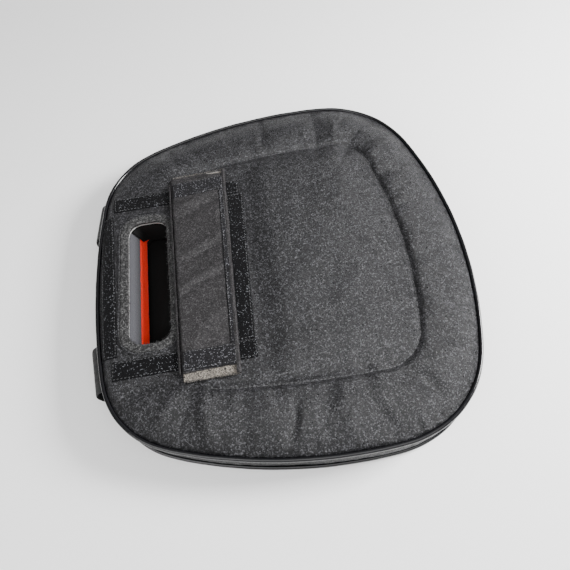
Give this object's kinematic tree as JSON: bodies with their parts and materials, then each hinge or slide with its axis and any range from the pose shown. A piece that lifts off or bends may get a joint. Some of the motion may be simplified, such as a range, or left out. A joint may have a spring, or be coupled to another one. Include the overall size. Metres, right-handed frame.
{
  "type": "kick shield",
  "caption": "Padded striking shield of rounded trapezoid outline, laminated foam in a black woven cover with piping, a hand slot under a hook-and-loop flap and webbing straps on the back.",
  "frame": {"origin": "middle of the back face, on the surface that the shield rests on", "axes": "+Z out of the struck front face, +X from the narrow end with the hand slot to the wide end, +Y to the left seen from the narrow end"},
  "size_m": [0.4078, 0.4426, 0.0523],
  "materials": {
    "cover_fabric": "woven polyester, dull sheen",
    "wadding": "lofted polyester",
    "grey_foam": "cut closed-cell foam",
    "orange_foam": "cut closed-cell foam",
    "dark_foam": "cut closed-cell foam",
    "piping_vinyl": "glossy vinyl",
    "binding": "woven bias tape with a frayed edge",
    "loop_tape": "looped pile",
    "hook_tape": "fine nylon hooks",
    "flap_fabric": "woven polyester, dull sheen",
    "felt": "stiff felt",
    "webbing": "woven polypropylene webbing",
    "thread": "twisted sewing thread"
  },
  "bodies": {
    "shield": {"front_panel": "cover_fabric", "front_wadding": "wadding", "upper_foam": "grey_foam", "core_foam": "orange_foam", "lower_foam": "dark_foam", "side_wall": "cover_fabric", "back_panel": "cover_fabric", "front_piping": "piping_vinyl", "back_piping": "piping_vinyl", "slot_facing": "cover_fabric", "slot_binding": "binding", "loop_tape_end": "loop_tape", "loop_tape_left": "loop_tape", "loop_tape_right": "loop_tape", "loop_tape_inner": "loop_tape", "flap_hinge_strip": "flap_fabric", "arm_strap_left": "webbing", "arm_strap_right": "webbing", "strap_backing_left": "webbing", "strap_backing_right": "webbing", "quilting_stitch": "thread"},
    "flap": {"flap_outer": "flap_fabric", "flap_lining": "flap_fabric", "flap_stiffener": "felt", "flap_hem": "flap_fabric", "hook_tape_left": "hook_tape", "hook_tape_right": "hook_tape", "hook_tape_edge": "hook_tape"}
  },
  "joints": [
    {"name": "flap_fold", "type": "hinge", "parent": "shield", "child": "flap", "pos_m": [-0.112, 0, 0.0498], "axis": [0, -1, 0], "range_deg": [0, 180]}
  ]
}
